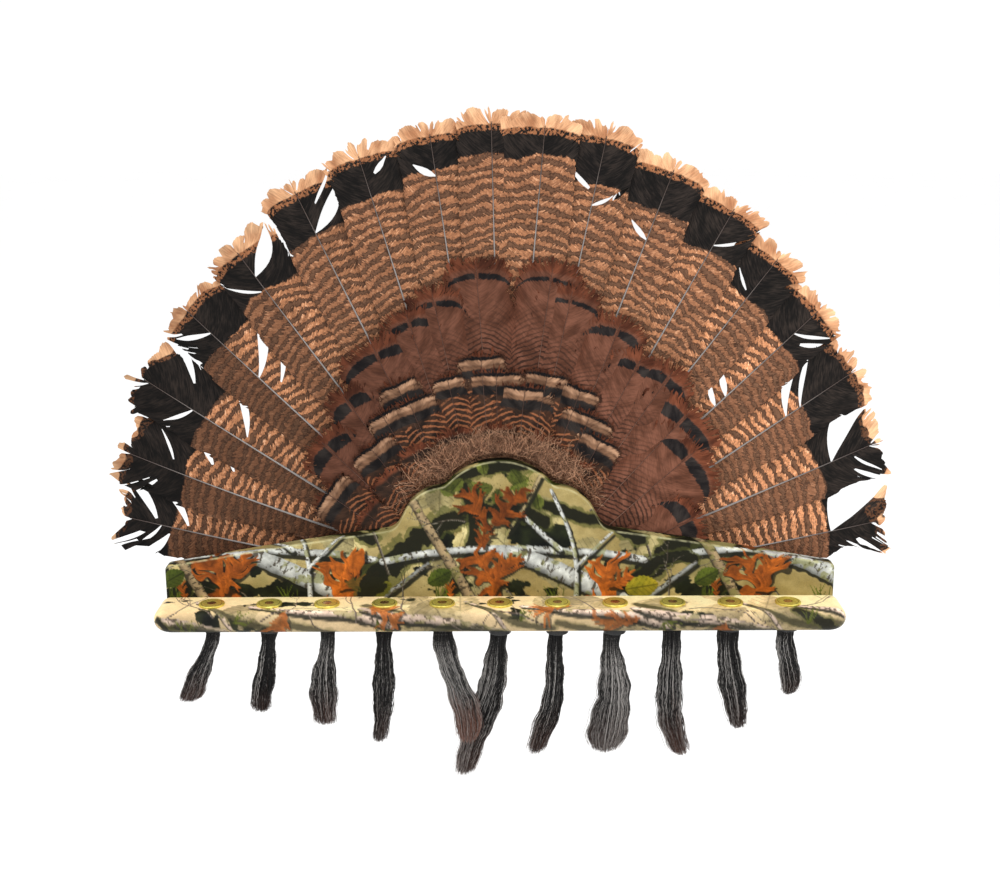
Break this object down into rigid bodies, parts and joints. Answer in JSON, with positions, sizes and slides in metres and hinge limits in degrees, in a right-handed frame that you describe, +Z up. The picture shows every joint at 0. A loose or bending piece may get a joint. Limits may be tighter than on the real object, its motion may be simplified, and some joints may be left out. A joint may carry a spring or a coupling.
{
  "type": "turkey fan and beard wall display",
  "caption": "Wall plaque with an ogee crest and a bull-nosed shelf that clamps a turkey tail fan behind it and holds beards hung from shotgun shell heads in bores.",
  "frame": {"origin": "on the back face of the clamp plate, which lies on the wall, on the board's middle line and level with the shelf's top face", "axes": "+X to the viewer's right along the shelf, +Y into the wall, +Z up"},
  "size_m": [0.6964, 0.0927, 0.5931],
  "materials": {
    "camo_board": "satin film-dipped leaf and branch camouflage over wood",
    "camo_shelf": "satin film-dipped leaf and branch camouflage over wood",
    "plywood": "bare birch plywood",
    "pine": "bare planed pine",
    "zinc_plate": "zinc-plated pressed steel",
    "screw_steel": "yellow zinc-plated steel",
    "dried_skin": "dried skin and filler, matte",
    "brass": "drawn brass, lightly polished",
    "hull_plastic": "black ribbed polyethylene",
    "beard_hair": "coarse bristle-like filaments with a low sheen",
    "tail_feather": "barred feather vane with a soft sheen",
    "covert_feather": "chestnut feather vane with a soft sheen",
    "down": "fluffy brown down"
  },
  "bodies": {
    "root": {"front_board": "camo_board", "shelf": "camo_shelf", "clamp_plate": "plywood", "spacer_blocks": "pine", "keyhole_plates": "zinc_plate", "clamp_screws": "screw_steel", "shelf_screws": "screw_steel", "block_screws": "screw_steel", "keyhole_screws": "screw_steel", "tail_root": "dried_skin", "tail_feathers_1": "tail_feather", "tail_feathers_2": "tail_feather", "tail_feathers_3": "tail_feather", "tail_feathers_4": "tail_feather", "tail_feathers_5": "tail_feather", "tail_feathers_6": "tail_feather", "tail_feathers_7": "tail_feather", "tail_feathers_8": "tail_feather", "tail_feathers_9": "tail_feather", "greater_coverts": "covert_feather", "median_coverts": "covert_feather", "lesser_coverts": "covert_feather", "down_tuft": "down"},
    "shell_01": {"brass_head_01": "brass", "hull_01": "hull_plastic", "beard_01": "beard_hair"},
    "shell_02": {"brass_head_02": "brass", "hull_02": "hull_plastic", "beard_02": "beard_hair"},
    "shell_03": {"brass_head_03": "brass", "hull_03": "hull_plastic", "beard_03": "beard_hair"},
    "shell_04": {"brass_head_04": "brass", "hull_04": "hull_plastic", "beard_04": "beard_hair"},
    "shell_05": {"brass_head_05": "brass", "hull_05": "hull_plastic", "beard_05": "beard_hair"},
    "shell_06": {"brass_head_06": "brass", "hull_06": "hull_plastic", "beard_06": "beard_hair"},
    "shell_07": {"brass_head_07": "brass", "hull_07": "hull_plastic", "beard_07": "beard_hair"},
    "shell_08": {"brass_head_08": "brass", "hull_08": "hull_plastic", "beard_08": "beard_hair"},
    "shell_09": {"brass_head_09": "brass", "hull_09": "hull_plastic", "beard_09": "beard_hair"},
    "shell_10": {"brass_head_10": "brass", "hull_10": "hull_plastic", "beard_10": "beard_hair"},
    "shell_11": {"brass_head_11": "brass", "hull_11": "hull_plastic", "beard_11": "beard_hair"}
  },
  "joints": [
    {"name": "shell_01_lift", "type": "slide", "parent": "root", "child": "shell_01", "axis": [0, 0, 1], "range_m": [0, 0.098], "deforming": ["beard_01"]},
    {"name": "shell_02_lift", "type": "slide", "parent": "root", "child": "shell_02", "axis": [0, 0, 1], "range_m": [0, 0.108], "deforming": ["beard_02"]},
    {"name": "shell_03_lift", "type": "slide", "parent": "root", "child": "shell_03", "axis": [0, 0, 1], "range_m": [0, 0.121], "deforming": ["beard_03"]},
    {"name": "shell_04_lift", "type": "slide", "parent": "root", "child": "shell_04", "axis": [0, 0, 1], "range_m": [0, 0.138], "deforming": ["beard_04"]},
    {"name": "shell_05_lift", "type": "slide", "parent": "root", "child": "shell_05", "axis": [0, 0, 1], "range_m": [0, 0.1345], "deforming": ["beard_05"]},
    {"name": "shell_06_lift", "type": "slide", "parent": "root", "child": "shell_06", "axis": [0, 0, 1], "range_m": [0, 0.176], "deforming": ["beard_06"]},
    {"name": "shell_07_lift", "type": "slide", "parent": "root", "child": "shell_07", "axis": [0, 0, 1], "range_m": [0, 0.1505], "deforming": ["beard_07"]},
    {"name": "shell_08_lift", "type": "slide", "parent": "root", "child": "shell_08", "axis": [0, 0, 1], "range_m": [0, 0.148], "deforming": ["beard_08"]},
    {"name": "shell_09_lift", "type": "slide", "parent": "root", "child": "shell_09", "axis": [0, 0, 1], "range_m": [0, 0.152], "deforming": ["beard_09"]},
    {"name": "shell_10_lift", "type": "slide", "parent": "root", "child": "shell_10", "axis": [0, 0, 1], "range_m": [0, 0.126], "deforming": ["beard_10"]},
    {"name": "shell_11_lift", "type": "slide", "parent": "root", "child": "shell_11", "axis": [0, 0, 1], "range_m": [0, 0.093], "deforming": ["beard_11"]}
  ]
}
